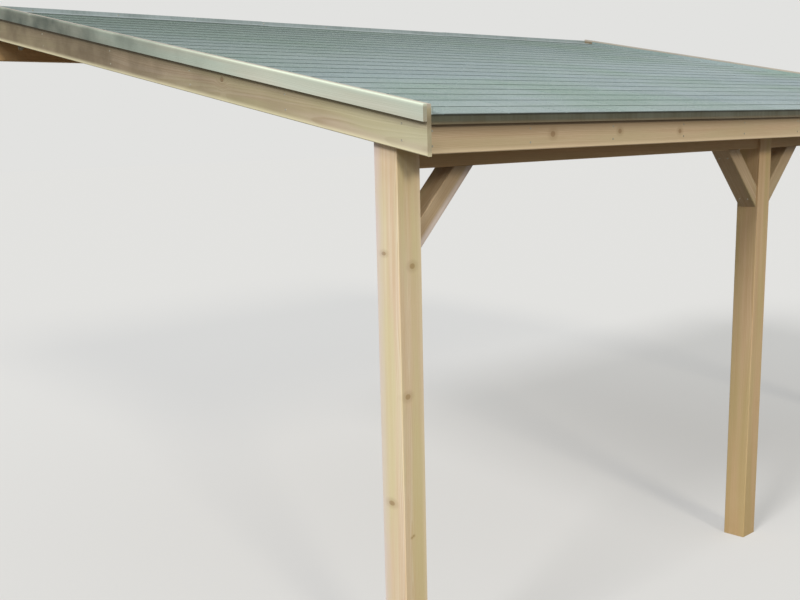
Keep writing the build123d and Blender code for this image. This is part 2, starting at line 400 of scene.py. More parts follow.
# %% [markdown]
# The timbers differ in colour, and so each kind has its look. The end posts are pale and creamy, the
# middle one darker and browner, which is painted shade of the roof over it, the hidden frame is plain
# sawn stock, and the raised strips along the verges have the green of fresh treatment.

# %% The looks of the timbers


def look(pale, dark, tint, knots=0.4):
    """What tells one kind of timber from another."""
    return {"Pale": paint(*pale), "Dark": paint(*dark), "Tint": paint(*tint), "Knots": knots}


POST_LOOK = look((226, 210, 188), (202, 170, 130), (210, 204, 160), knots=0.3)
# Painted shade: the middle post has darker, browner colours than the end posts, for the roof over it.
MIDDLE_SHADED_LOOK = look((208, 182, 146), (184, 152, 110), (186, 170, 120))
BRACE_LOOK = look((192, 172, 142), (164, 136, 102), (172, 160, 120), knots=0.2)
FRAME_LOOK = look((196, 164, 122), (156, 120, 80), (172, 148, 106), knots=0.5)
FASCIA_LOOK = look((212, 190, 158), (178, 148, 114), (194, 180, 142), knots=0.12)
BARGE_LOOK = look((194, 178, 156), (160, 140, 112), (178, 174, 134), knots=0.3)
TRIM_LOOK = look((198, 200, 186), (174, 176, 158), (184, 202, 190), knots=0.1)

STICKS = [
    (("post_left", "post_right"), GRAIN_Z, POST_LOOK),
    (("post_middle",), GRAIN_Z, MIDDLE_SHADED_LOOK),
    (("brace_left", "brace_mid_right"), GRAIN_BRACE_UP, BRACE_LOOK),
    (("brace_mid_left", "brace_right"), GRAIN_BRACE_DOWN, BRACE_LOOK),
    (("header_left", "header_right", "wall_plate"), GRAIN_X, FRAME_LOOK),
    (RAFTERS, GRAIN_SLOPE, FRAME_LOOK),
    (sorted(n for n in nodes if n.startswith("noggin_")), GRAIN_X, FRAME_LOOK),
    (("fascia",), GRAIN_X, FASCIA_LOOK),
    (("bargeboard_left", "bargeboard_right"), GRAIN_SLOPE, BARGE_LOOK),
    (("verge_trim_left", "verge_trim_right"), GRAIN_SLOPE, TRIM_LOOK),
]
draw = random.Random(11)
timbers = {}
for names, grain, looks in STICKS:
    for node in names:
        heart = (draw.uniform(-0.09, -0.03), draw.uniform(-0.12, 0.12))
        material, place = timber("timber_" + node, middle_of(node), grain, heart, len(timbers), looks)
        timbers[node] = (material, place, heart)
        dress(node, material)
print("sticks dressed:", len(timbers))

# %% [markdown]
# The fascia shows three knots in a row, each as wide as a thumb, and the near post has two on each open
# face and two pin knots. Chance won't put them there, so they are listed one by one.
# A small group measures how far a point is from a knot's heart and darkens the wood round it.

# %% Knots listed one by one
KNOT_TAKES = {
    "Place": "Vector",
    "Heart": "Vector",
    "Size": 0.012,
    "Under": "Color",
    "Knot": paint(140, 110, 72),
}
knot, knot_in, knot_out = new_group("placed_knot", KNOT_TAKES)
reach = vector_sum(knot, "SUBTRACT", knot_in["Place"], knot_in["Heart"])
reach = length_of(knot, vector_sum(knot, "MULTIPLY", reach, (0.8, 0.6, 1.0)))
reach = sum_up(knot, "DIVIDE", reach, knot_in["Size"])
halo = ramp(knot, reach, 1.0, 2.6, 0.25, 0.0, True)
both = sum_up(knot, "MAXIMUM", halo, ramp(knot, reach, 0.7, 1.1, 0.7, 0.0))
give(knot, knot_out, Color=glaze(knot, knot_in["Under"], (both, knot_in["Knot"])))

FASCIA_FACE = fascia_low.y
POST_SIDE, POST_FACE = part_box("post_left")[0].xy
KNOTS = {
    "fascia": (
        (-1.921, FASCIA_FACE, 2.157, 0.013),
        (-1.493, FASCIA_FACE, 2.159, 0.011),
        (-1.055, FASCIA_FACE, 2.151, 0.011),
    ),
    "post_left": (
        (-2.546, POST_FACE, 1.240, 0.012),
        (POST_SIDE, -2.986, 0.830, 0.011),
        (-2.531, POST_FACE, 0.705, 0.004),
        (-2.541, POST_FACE, 0.700, 0.004),
        (POST_SIDE, -2.975, 1.757, 0.008),
        (-2.511, POST_FACE, 1.711, 0.012),
    ),
}
for node, hearts in KNOTS.items():
    material = timbers[node][0]
    for x, y, up, size in hearts:
        spot = {"Place": object_place(material), "Heart": (x, y, GROUND + up), "Size": size}
        lay_over(material, knot, spot)
print("knots placed:", sum(len(hearts) for hearts in KNOTS.values()))

# %% [markdown]
# Timber weathers by where it is, not only by what it is. Near the ground, splashes leave the posts
# olive, and the middle post's foot gets more of that colour, partly painted shade. Close under the
# eaves the posts are painted browner, painted shade of the eaves. Along the verge, the boards go from a
# light green cream at the eaves to brown at the wall, painted light and shade. One group does it all:
# it lays a colour on between two values of one coordinate, and breaks it up a little.

# %% Colour that comes on along a board
OVER = {"Share": 0.5, "Under": "Color", "Colour": "Color"}
DRIFT_TAKES = {"Along": 0.0, "Place": "Vector", "None at": 0.0, "Full at": 1.0, **OVER}
drift, drift_in, drift_out = new_group("colour_along", DRIFT_TAKES)
broken = cloud(drift, drift_in["Place"], (7.0, 7.0, 7.0), 0.3, 0.7, 3.0)
share = ramp(drift, drift_in["Along"], drift_in["None at"], drift_in["Full at"], 0.0, drift_in["Share"])
share = times(drift, share, ramp(drift, broken, 0.0, 1.0, 0.65, 1.0))
give(drift, drift_out, Color=glaze(drift, drift_in["Under"], (share, drift_in["Colour"])))


def colour_along(node, axis, none_at, full_at, share, colour):
    """Lays a colour on a timber between two values of one coordinate."""
    material = timbers[node][0]
    spot = object_place(material)
    along = part_of(material.node_tree, spot, axis)
    span = {"Along": along, "Place": spot, "None at": none_at, "Full at": full_at}
    lay_over(material, drift, {**span, "Share": share, "Colour": paint(*colour)})


print("weathering group:", len(drift.nodes), "nodes")

# %% [markdown]
# A row of the table is one such change: the timbers, the axis, where it starts and where it is full,
# its share and its colour. The last two rows are for the end posts: the side face is cooler at its back
# edge, a painted reflection of the sky, and the front face a little yellower, painted light on that
# face, with a pale right edge, a painted highlight.

# %% Weathering, painted light and painted shade on the posts and the bargeboards
SPLASH_TOP = 0.95
POST_SHADE_STARTS, BEAM = 1.85, 2.05
END_POSTS = ("post_left", "post_right")
BARGEBOARDS = ("bargeboard_left", "bargeboard_right")
WEATHER_AND_PAINTED_LIGHT = [
    (END_POSTS, "Z", GROUND + SPLASH_TOP, GROUND, 0.3, (176, 148, 100)),
    # Partly ground splash and partly painted shade under the roof: the middle post's foot is darker.
    (("post_middle",), "Z", GROUND + SPLASH_TOP, GROUND, 0.6, (176, 148, 100)),
    # Painted shade of the eaves: the tops of all three posts are browner.
    ((*END_POSTS, "post_middle"), "Z", GROUND + POST_SHADE_STARTS, GROUND + BEAM, 0.25, (172, 134, 80)),
    # Painted light and shade: the bargeboards are lighter near the eaves and darker towards the wall.
    (BARGEBOARDS, "Y", -3.0, -1.2, 1.0, (100, 88, 68)),
    (BARGEBOARDS, "Y", -2.7, -3.15, 0.4, (198, 200, 174)),
    # Painted reflection of the sky: the side face is cooler towards its back edge.
    (END_POSTS, "Y", POST_FACE + 0.07, POST_FACE + 0.115, 0.65, (213, 202, 213)),
    # Painted light: the front face is a little yellower.
    (END_POSTS, "Y", POST_FACE + 0.004, POST_FACE, 0.15, (226, 200, 110)),
]
for names, axis, none_at, full_at, share, colour in WEATHER_AND_PAINTED_LIGHT:
    for node in names:
        colour_along(node, axis, none_at, full_at, share, colour)
# Painted highlight: a pale strip along the right edge of the front face.
PALE_STARTS, PALE_FULL = 0.024, 0.004
for node in END_POSTS:
    right_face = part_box(node)[1].x
    colour_along(node, "X", right_face - PALE_STARTS, right_face - PALE_FULL, 0.7, (232, 214, 188))
print("kinds of weathering:", len(WEATHER_AND_PAINTED_LIGHT) + 1)

# %% [markdown]
# A light line along an arris is a painted highlight. The fascia and the bargeboards get one along the
# bottom, and the end braces just inside their lower edge, which runs through the middle of their box.
# Close under the drip and under the raised strips it is the other way round: a dark band is painted
# there, painted shade. The group needs the board's own axes, so it takes the place that the timber
# function gave back.

# %% The edge band group
EDGE_TAKES = {"Across": 0.0, "Edge at": 0.0, "Depth": 0.012, **OVER}
edge, edge_in, edge_out = new_group("pale_edge", EDGE_TAKES)
from_edge = sum_up(edge, "ABSOLUTE", sum_up(edge, "SUBTRACT", edge_in["Across"], edge_in["Edge at"]))
share = ramp(edge, from_edge, 0.0, edge_in["Depth"], edge_in["Share"], 0.0, True)
give(edge, edge_out, Color=glaze(edge, edge_in["Under"], (share, edge_in["Colour"])))


def square_height(node):
    """A sloping board's height, square to its length."""
    low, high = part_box(node)
    return ((high.z - low.z) - (high.y - low.y) * RISE) * LEVEL


def edge_band(node, off_middle, side, depth, share, colour):
    """Colours a timber along a line off its middle, towards its own Z (side 1) or away (-1)."""
    material, place, heart = timbers[node]
    across = part_of(material.node_tree, place, "Z")
    spot = {"Across": across, "Edge at": side * off_middle - heart[1], "Depth": depth}
    lay_over(material, edge, {**spot, "Share": share, "Colour": paint(*colour)})


print("bargeboard", round(square_height("bargeboard_left"), 3), "m high")

# %% [markdown]
# Each band has its timber, its distance from the middle and its side, its depth, its share and its
# colour. The strips are also painted darker towards the wall, and the braces close under the beam, both
# painted shade.

# %% Painted highlights and painted shade along the edges
fascia_half = (fascia_high.z - fascia_low.z) / 2
# Painted highlight along the fascia's lower edge.
edge_band("fascia", fascia_half, -1, 0.02, 0.8, (232, 212, 178))
# Painted shade of the drip along the top of the fascia.
edge_band("fascia", fascia_half, 1, 0.07, 0.95, (90, 72, 46))
for side in ("left", "right"):
    board, strip = "bargeboard_" + side, "verge_trim_" + side
    board_half, strip_high = square_height(board) / 2, square_height(strip)
    # Painted highlights along the bargeboard's edges.
    edge_band(board, board_half, -1, 0.022, 0.75, (230, 224, 188))
    edge_band(board, board_half, 1, 0.02, 0.6, (206, 198, 190))
    # Painted shadow of the raised strip on the bargeboard below it.
    edge_band(board, board_half - strip_high, 1, 0.042, 0.6, (112, 100, 74))
    # Painted highlight along the top of the raised strip.
    edge_band(strip, strip_high / 2, 1, 0.012, 0.8, (226, 236, 216))
    # Painted shade: the raised strip is darker towards the wall.
    colour_along(strip, "Y", -2.4, -1.0, 1.0, (66, 75, 68))
PALE_IN = 0.012
for node, side in (("brace_left", 1), ("brace_right", -1)):
    # Painted highlight just inside the brace's lower edge.
    edge_band(node, PALE_IN, side, 0.02, 0.85, (222, 210, 206))
SHADE_STARTS, SHADE_FULL = 1.9, 2.02
BRACES = sorted(node for node in timbers if node.startswith("brace_"))
for node in BRACES:
    # Painted shade close under the beam.
    colour_along(node, "Z", GROUND + SHADE_STARTS, GROUND + SHADE_FULL, 0.35, (116, 90, 62))
print("braces darkened:", len(BRACES))

# %% [markdown]
# New pieces are shaped with bmesh, then handed over. A finished piece sits at the origin with its place
# in its mesh, rides on the part's one body, and carries its one material.
# Small helpers find the edges and faces at some corners, for bevels and for marks.

# %% Hand over a finished piece


def new_mesh(name, shape, material):
    """A mesh from a bmesh, which is then let go."""
    mesh = bpy.data.meshes.new(name)
    shape.to_mesh(mesh)
    shape.free()
    mesh.materials.append(material)
    return mesh


def add_object(name, data):
    """A mesh, a light or a camera, put into the scene."""
    made = bpy.data.objects.new(name, data)
    bpy.context.scene.collection.objects.link(made)
    return made


def finish_piece(name, shape, material):
    """Turns a bmesh into a piece of the part."""
    mesh = new_mesh(name, shape, material)
    piece = add_object(name, mesh)
    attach(piece, "root")
    print(name, "has", sum(len(p.vertices) - 2 for p in mesh.polygons), "triangles")
    return piece


def add_block(shape, low, high):
    """A block between two corners; returns its vertices."""
    made = bmesh.ops.create_cube(shape, size=1.0)["verts"]
    bmesh.ops.scale(shape, vec=[h - l for l, h in zip(low, high)], verts=made)
    bmesh.ops.translate(shape, vec=[(h + l) / 2 for l, h in zip(low, high)], verts=made)
    return made


def edges_of(verts):
    return {edge for vert in verts for edge in vert.link_edges}


def faces_of(verts):
    return {face for vert in verts if vert.is_valid for face in vert.link_faces}


def verts_in(geometry):
    return [part for part in geometry if isinstance(part, bmesh.types.BMVert)]


def bevel(shape, edges, wide):
    """Cuts edges off with one flat face each, and returns those faces."""
    how = {"segments": 1, "profile": 0.5, "affect": "EDGES", "material": -1}
    return set(bmesh.ops.bevel(shape, geom=edges, offset=wide, **how)["faces"])


# %% [markdown]
# The roof boarding is tongued and grooved softwood, laid across the rafters. From below each
# joint shows as a small V, and board ends meet on a rafter. Each board is a block whose lower
# long edges are bevelled, and a number kept on its faces shifts the grain, so that no two
# neighbours match.

# %% Roof boarding
BOARD = 0.12
BOARD_GAP = 0.0012
BOARD_V = 0.004
END_GAP = 0.0015
FIRST_JOINT = (2, 3, 5, 6)
BOARD_RAFTERS = (4, 7)

boards = bmesh.new()
stamp = boards.faces.layers.float.new("stick")
draw = random.Random(23)


def add_board(left, right, start, end):
    """One board between two rafters, its lower long edges bevelled."""
    low = (left + END_GAP / 2, start + BOARD_GAP / 2, -DECK_THICK)
    high = (right - END_GAP / 2, end - BOARD_GAP / 2, 0)
    made = add_block(boards, low, high)
    under = [e for e in edges_of(made) if max(v.co.z for v in e.verts) < -DECK_THICK / 2]
    long_edges = [e for e in under if abs(e.verts[0].co.x - e.verts[1].co.x) > BOARD]
    cut = bevel(boards, long_edges, BOARD_V)
    number = draw.random()
    for face in faces_of(made) | cut:
        face[stamp] = number


for row in range(math.ceil(DECK_RUN / BOARD)):
    cuts = [ROOF_LEFT]
    rafter = draw.choice(FIRST_JOINT)
    while rafter < len(RAFTER_X) - 1:
        cuts.append(RAFTER_X[rafter])
        rafter += draw.choice(BOARD_RAFTERS)
    cuts.append(ROOF_RIGHT)
    for left, right in zip(cuts, cuts[1:]):
        add_board(left, right, row * BOARD, min((row + 1) * BOARD, DECK_RUN))
bmesh.ops.transform(boards, matrix=ROOF_FRAME, verts=boards.verts)

# %% [markdown]
# The boards are one mesh with one material. The number on each board's faces moves it to
# another part of the tree and shades it a little, so the ceiling reads as separate boards.

# %% The boards' finish
BOARD_LOOK = look((206, 174, 130), (166, 130, 88), (184, 160, 116), knots=0.45)
SHIFT_ALONG, SHIFT_ACROSS = 91.0, 0.12
PITH_BELOW, PITH_ASIDE = 0.02, 0.03

board_wood, tree, surface = new_material("timber_boarding")
number = put(tree, "Attribute", attribute_name="stick").outputs["Fac"]
along = times(tree, number, SHIFT_ALONG)
across = times(tree, number, SHIFT_ACROSS, PITH_BELOW)
shift = put(tree, "CombineXYZ", {"X": along, "Y": PITH_ASIDE, "Z": across}).outputs[0]
spot = put(tree, "TexCoord").outputs
place = vector_sum(tree, "ADD", turn_back(tree, spot["Object"], ON_SLOPE), shift)
grown = use_group(tree, wood, {"Place": place, "Facing": spot["Normal"], **BOARD_LOOK})
take_finish(tree, surface, grown, GRAIN_BUMP, GRAIN_DEPTH)
base = surface.inputs["Base Color"]
shade = ramp(tree, number, 0.0, 1.0, 0.0, 0.35)
tree.links.new(glaze(tree, base.links[0].from_socket, (shade, paint(170, 134, 92))), base)
boarding = finish_piece("roof_boarding", boards, board_wood)
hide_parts("roof_deck")

# %% [markdown]
# The roof is mineral felt shingles: strips with three tabs, nailed in rows from the eaves up,
# each row half a tab along from the one below. The lower edge of a tab lies on the row under
# it, so every tab leans a little and its cut edge shows as a thin line. One toothed sheet makes
# the layer that shows through the slots. Two numbers on each face, one for its tab and one for
# its row, tell the finish later how dark it is.

# %% The sheet under the tabs
EXPOSED = 0.145
TAB = 1.0 / 3
SLOT = 0.007
FELT = 0.0027
HEAD_LAP = 0.018
UNDER_TAB = SKIN_THICK - FELT
HAIR = 0.0002

shingles = bmesh.new()
tab_stamp = shingles.faces.layers.float.new("tab")
row_stamp = shingles.faces.layers.float.new("course")
rows = math.ceil((ROOF_END - HEAD_LAP - ROOF_START) / EXPOSED)
ROW_STARTS = [ROOF_START + row * EXPOSED for row in range(rows)]
outline = [(ROOF_START + 0.02, HAIR), (ROOF_START + 0.001, UNDER_TAB)]
for start in ROW_STARTS:
    top = min(start + EXPOSED, ROOF_END)
    outline.append((top - 0.001, UNDER_TAB - FELT * (top - start) / EXPOSED + HAIR))
    if start != ROW_STARTS[-1]:
        outline.append((top, UNDER_TAB))
outline.append((ROOF_END, HAIR / 2))
sheet = shingles.faces.new([shingles.verts.new((ROOF_LEFT, y, z)) for y, z in outline])
swept = bmesh.ops.extrude_face_region(shingles, geom=[sheet])["geom"]
bmesh.ops.translate(shingles, vec=(ROOF_WIDE, 0, 0), verts=verts_in(swept))


def stamp_faces(faces, tab, course):
    """Keeps the number of a tab and that of its row on some faces."""
    for face in faces:
        face[tab_stamp] = tab
        face[row_stamp] = course


stamp_faces(shingles.faces, 0.5, 0.3)
print("rows of shingles:", rows)

# %% [markdown]
# Each tab is a thin block: its lower edge at full height, its upper end tucked down under the
# next row. A little chance in how far it comes down and how it lies keeps the rows alive.

# %% The tabs
JOG = 0.0012
LIFT = 0.0006
NARROWEST = 0.02
ODD_ROWS, EVEN_ROWS = 0.35, 0.85
draw = random.Random(5)


def add_tab(left, right, start, run, jog):
    """One tab, leaning on the row below."""
    made = bmesh.ops.create_cube(shingles, size=1.0)["verts"]
    for v in made:
        upper_end = v.co.y > 0
        z = SKIN_THICK - (0.0 if v.co.z > 0 else FELT)
        z -= FELT * run / EXPOSED if upper_end else draw.uniform(0.0, LIFT)
        v.co = (right if v.co.x > 0 else left, start + run if upper_end else start + jog, z)
    return faces_of(made)


for row, start in enumerate(ROW_STARTS):
    first = ROOF_LEFT - TAB * (ODD_ROWS if row % 2 else EVEN_ROWS)
    run = min(EXPOSED + HEAD_LAP, ROOF_END - start)
    tone = draw.random()
    for tab in range(math.ceil(ROOF_WIDE / TAB) + 2):
        left = max(first + tab * TAB + SLOT / 2, ROOF_LEFT)
        right = min(first + (tab + 1) * TAB - SLOT / 2, ROOF_RIGHT)
        if right - left < NARROWEST:
            continue
        faces = add_tab(left, right, start, run, draw.uniform(0, JOG) if row else 0.0)
        stamp_faces(faces, draw.random(), tone)

# %% [markdown]
# Along both verges the felt is turned up against the bargeboard, so that water can't get
# behind it. That is a thin upright strip on top of the shingles.

# %% The turned-up felt at the verges
TURN_UP = 0.027
UPSTAND = 0.0025
UPSTAND_START = ROOF_START + (TURN_UP - SKIN_THICK) * RISE
UPSTAND_END = ROOF_END - (skin_high.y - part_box("wall_flashing")[0].y) / LEVEL
AT_VERGES = ((ROOF_LEFT + HAIR, ROOF_LEFT + UPSTAND), (ROOF_RIGHT - UPSTAND, ROOF_RIGHT - HAIR))
for left, right in AT_VERGES:
    strip = add_block(shingles, (left, UPSTAND_START, FELT), (right, UPSTAND_END, TURN_UP))
    stamp_faces(faces_of(strip), 0.6, 0.4)
bmesh.ops.transform(shingles, matrix=ROOF_FRAME, verts=shingles.verts)
bmesh.ops.recalc_face_normals(shingles, faces=shingles.faces)
print("turned up", round(TURN_UP - SKIN_THICK, 3), "m")

# %% [markdown]
# Mineral felt is crushed slate pressed into bitumen: pale and dark green grains the size of coarse
# sand, over a near black base. From the ground it reads as one soft sage colour. The lowest rows are
# lighter, and up the slope it is painted darker, on the left side soonest, painted shade of the wall
# beside the roof. The group gives grains for a close look, and slow patches, rows and tabs for a
# distant one.

# %% The granule group: patches
FELT_TAKES = {
    "Place": "Vector",
    "Facing": "Vector",
    "Tab": 0.5,
    "Course": 0.5,
    "Light": paint(162, 177, 179),
    "Mid": paint(150, 166, 175),
    "Green": paint(133, 159, 146),
    "Deep": paint(86, 104, 98),
    "Bitumen": paint(104, 114, 112),
    "Grain": 620.0,
}
grit, grit_in, grit_out = new_group("mineral_granules", FELT_TAKES, FINISH)
LIGHTER_ROWS = 0.2
place = grit_in["Place"]
up_slope = part_of(grit, place, "Y")
# The lowest rows are laid lighter.
clean = ramp(grit, up_slope, LIGHTER_ROWS - 0.04, LIGHTER_ROWS + 0.04, 0.45, 0.0)
slow = cloud(grit, place, (0.55, 1.5, 1.5), 0.38, 0.62, 3.0)
tone = times(grit, grit_in["Course"], 0.4)
tone = times(grit, slow, 0.45, tone)
tone = sum_up(grit, "ADD", tone, clean, clamp=True)
mossy = cloud(grit, place, (0.8, 1.1, 1.1), 0.46, 0.66, 3.0)
run_off = cloud(grit, place, (11.0, 0.8, 1.0), 0.45, 0.7)
green = times(grit, run_off, 0.18, times(grit, mossy, 0.68))
# Painted shade of the wall: darker up the slope, on the left side soonest.
leftward = times(grit, part_of(grit, place, "X"), -0.25, up_slope)
painted_wall_shade = ramp(grit, leftward, 1.2, 3.5, 0.0, 0.95)
tab_shade = ramp(grit, grit_in["Tab"], 0.0, 1.0, 0.0, 0.16)
patches = glaze(
    grit,
    grit_in["Mid"],
    (tone, grit_in["Light"]),
    (green, grit_in["Green"]),
    (painted_wall_shade, grit_in["Deep"]),
    (tab_shade, grit_in["Deep"]),
)
print("clean up to", LIGHTER_ROWS, "m from the eaves")

# %% [markdown]
# Small Voronoi cells are the grains, some dark, some bright, each a bump. The cut lower edge
# of a tab shows the bitumen.

# %% The granule group: grains and cut edges
grain_cells = put(grit, "TexVoronoi", {"Vector": place, "Scale": grit_in["Grain"]}, feature="F1")
speck = put(grit, "SeparateColor", {"Color": grain_cells.outputs["Color"]}).outputs
dark_grains = ramp(grit, speck["Red"], 0.62, 0.75, 0.0, 0.4)
bright_grains = ramp(grit, speck["Green"], 0.76, 0.86, 0.0, 0.5)
cut_edge = ramp(grit, part_of(grit, grit_in["Facing"], "Y"), -0.6, -0.85, 0.0, 0.6)
colour = glaze(
    grit,
    patches,
    (dark_grains, grit_in["Deep"]),
    (bright_grains, paint(206, 216, 208)),
    (cut_edge, grit_in["Bitumen"]),
)
rough = ramp(grit, speck["Blue"], 0.0, 1.0, 0.7, 0.95)
height = ramp(grit, grain_cells.outputs["Distance"], 0.0, 0.6, 1.0, 0.0)
give(grit, grit_out, Color=colour, Roughness=rough, Height=height)
print("granule group:", len(grit.nodes), "nodes")

# %% [markdown]
# The felt reads the roof's own axes, as the shingles were laid in them, so that the clean rows
# and the cut edges follow the slope.

# %% The felt
FELT_BUMP, FELT_DEPTH = 0.6, 0.0008
FELT_GLOSS = 0.3
felt, tree, surface = new_material("shingle_felt")
spot = put(tree, "TexCoord").outputs
place = turn_back(tree, spot["Object"], ON_SLOPE, DECK_EAVE)
facing = turn_back(tree, spot["Normal"], ON_SLOPE)
tab = put(tree, "Attribute", attribute_name="tab").outputs["Fac"]
course = put(tree, "Attribute", attribute_name="course").outputs["Fac"]
mineral = use_group(tree, grit, {"Place": place, "Facing": facing, "Tab": tab, "Course": course})
take_finish(tree, surface, mineral, FELT_BUMP, FELT_DEPTH)
surface.inputs["Specular IOR Level"].default_value = FELT_GLOSS
covering = finish_piece("roof_shingles", shingles, felt)
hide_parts("roof_covering")

# %% [markdown]
# Two folded strips of metal keep the edges dry. The drip under the lowest shingles has a dark
# olive coating that has gone dull. The flashing at the wall is bare grey metal with a cloudy
# skin and faint runs. Both come from one weathering group, with their own colours.

# %% The weathered metal group
METAL_BUMP = 0.4
METAL_TAKES = {"Place": "Vector", "Clean": "Color", "Dull": "Color", "Smoothest": 0.4}
weather, wea_in, wea_out = new_group("weathered_metal", METAL_TAKES, FINISH)
place = wea_in["Place"]
skin = cloud(weather, place, (5.0, 9.0, 9.0), 0.35, 0.65, 4.0)
runs = cloud(weather, place, (60.0, 4.0, 4.0), 0.4, 0.68, 3.0)
dull = times(weather, runs, 0.35, times(weather, skin, 0.6), clamp=True)
colour = glaze(weather, wea_in["Clean"], (dull, wea_in["Dull"]))
rough = times(weather, dull, 0.25, wea_in["Smoothest"])
height = noise(weather, place, (14.0, 14.0, 14.0), 3.0).outputs["Fac"]
give(weather, wea_out, Color=colour, Roughness=rough, Height=height)


def metal(name, metallic, bump_depth, clean, dull, smoothest=0.4):
    """A weathered metal material."""
    material, tree, surface = new_material(name)
    looks = {"Clean": paint(*clean), "Dull": paint(*dull), "Smoothest": smoothest}
    worn = use_group(tree, weather, {"Place": object_place(material), **looks})
    take_finish(tree, surface, worn, METAL_BUMP, bump_depth)
    surface.inputs["Metallic"].default_value = metallic
    return material


drip_metal = metal("drip_coating", 0.0, 0.0006, (84, 86, 66), (72, 70, 50))
flashing_metal = metal("flashing_metal", 0.3, 0.004, (164, 176, 178), (138, 150, 150))
zinc = metal("zinc", 0.8, 0.0001, (176, 174, 160), (132, 126, 108), smoothest=0.3)
print("weathered metal group:", len(weather.nodes), "nodes")

# %% [markdown]
# Such strips come in lengths of about two metres, folded from thin sheet, and each length laps
# the next by a hand's width. A few points give the folds. Extruded along the eaves they make a
# skin, and a Solidify modifier gives it its thickness on the inner side.

# %% Folded strips in lapped lengths
LENGTH = 1.95
LAP = 0.07
CLEARANCE = 1.1
UP_AND_OUT = Vector((0, -1, 1))


def folded_strip(name, folds, thick, material):
    """Lapped lengths of sheet metal from the outer points of their folds, (y, z)."""
    shape = bmesh.new()
    count = math.ceil(ROOF_WIDE / LENGTH)
    pitch = ROOF_WIDE / count
    for number in range(count):
        left = ROOF_LEFT + number * pitch + HAIR
        right = min(left + pitch + LAP, ROOF_RIGHT - HAIR)
        under = thick * CLEARANCE * (number % 2)
        corners = [shape.verts.new((left, min(y + under, -HAIR), z - under)) for y, z in folds]
        edges = [shape.edges.new(pair) for pair in zip(corners, corners[1:])]
        swept = bmesh.ops.extrude_edge_only(shape, edges=edges)["geom"]
        bmesh.ops.translate(shape, vec=(right - left, 0, 0), verts=verts_in(swept))
    for face in shape.faces:
        if face.normal.dot(UP_AND_OUT) < 0:
            face.normal_flip()
    piece = finish_piece(name, shape, material)
    wall = piece.modifiers.new("sheet", "SOLIDIFY")
    wall.thickness = thick
    wall.offset = -1.0
    return piece


# %% [markdown]
# The drip lies on the boards, folds down over their edge and kicks out at the bottom, where a paler
# brown line is laid along it. The flashing laps the shingles, bends up the wall and ends in a narrow
# lip that would be let into a joint of it.

# %% Drip and flashing
drip_low, drip_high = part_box("eaves_drip")
KICK, KICK_HEIGHT = 0.004, 0.007
DRIP_SHEET, FLASHING_SHEET = 0.0009, 0.0012
fold = drip_high.z - (drip_high.y - drip_low.y) * RISE
drip_folds = [
    (drip_high.y, drip_high.z),
    (drip_low.y, fold),
    (drip_low.y, drip_low.z + KICK_HEIGHT),
    (drip_low.y - KICK, drip_low.z),
]
drip = folded_strip("drip_lengths", drip_folds, DRIP_SHEET, drip_metal)
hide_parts("eaves_drip")
lip = {"Across": part_of(drip_metal.node_tree, object_place(drip_metal), "Z"), "Edge at": drip_low.z}
lay_over(drip_metal, edge, {**lip, "Depth": 0.014, "Share": 0.5, "Colour": paint(122, 102, 72)})

flash_low, flash_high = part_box("wall_flashing")
FLASHING_STEP = 0.003
bend = flash_low.z + FLASHING_STEP / 2 + (flash_high.y - flash_low.y) * RISE
flashing_folds = [
    (flash_low.y, flash_low.z + 0.001),
    (flash_low.y + 0.001, flash_low.z + FLASHING_STEP),
    (-FLASHING_STEP, bend),
    (-FLASHING_STEP, flash_high.z - HAIR),
    (-HAIR, flash_high.z - HAIR),
]
flashing = folded_strip(
    "flashing_lengths", flashing_folds, FLASHING_SHEET, flashing_metal
)
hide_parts("wall_flashing")

# %% [markdown]
# Screws make joinery believable from near by. One head is a short cone with a round recess,
# made by an inset and a push. The heads of each place are one mesh.

# %% Screw heads
SCREW = 0.0042
SCREW_STAND = 0.0012
RECESS = 0.0007


def aim(direction):
    """The turn that points a thing's Z axis in one direction."""
    return Vector(direction).to_track_quat("Z", "Y").to_matrix().to_4x4()


def add_screw(shape, point, facing):
    """A pan head that stands on a face."""
    ring = {"segments": 12, "radius1": SCREW, "radius2": SCREW * 0.8, "depth": SCREW_STAND}
    before = len(shape.verts)
    made = bmesh.ops.create_cone(shape, cap_ends=True, **ring)["verts"]
    top = max(faces_of(made), key=lambda f: f.calc_center_median().z)
    bmesh.ops.inset_region(shape, faces=[top], thickness=SCREW * 0.4)
    bmesh.ops.translate(shape, vec=(0, 0, -RECESS), verts=top.verts)
    stand = Matrix.Translation(Vector(point) + Vector(facing).normalized() * SCREW_STAND / 2)
    bmesh.ops.transform(shape, matrix=stand @ aim(facing), verts=list(shape.verts)[before:])


# %% [markdown]
# The fascia has two screws into every rafter end, and the bargeboards have pairs up their
# length. The flashing is held by a screw every half metre.

# %% Screws in the boards
screws = bmesh.new()
OUT = (0, -1, 0)
FASCIA_SCREWS = (0.026, 0.076)
for x in RAFTER_X:
    for up in FASCIA_SCREWS:
        add_screw(screws, (x, fascia_low.y, fascia_low.z + up), OUT)

BARGE_SCREWS = (0.032, 0.088)
VERGE_STEP, VERGE_FIRST = 0.62, 0.12
barge_low, barge_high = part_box("bargeboard_left")
for way in (-1, 1):
    y = barge_low.y + VERGE_FIRST
    while y < barge_high.y:
        for up in BARGE_SCREWS:
            z = barge_low.z + (y - barge_low.y) * RISE + up
            add_screw(screws, (-way * barge_low.x, y, z), (way, 0, 0))
        y += VERGE_STEP

FLASHING_SCREWS, BELOW_LIP = 10, 0.014
for number in range(FLASHING_SCREWS):
    x = ROOF_LEFT + (number + 0.5) * ROOF_WIDE / FLASHING_SCREWS
    add_screw(screws, (x, -FLASHING_STEP, flash_high.z - BELOW_LIP), OUT)
finish_piece("board_screws", screws, zinc)

# %% [markdown]
# Each brace is screwed to the post and to the beam through its lower face, two screws at each
# end. Which way that face looks depends on the side that the brace leans to.

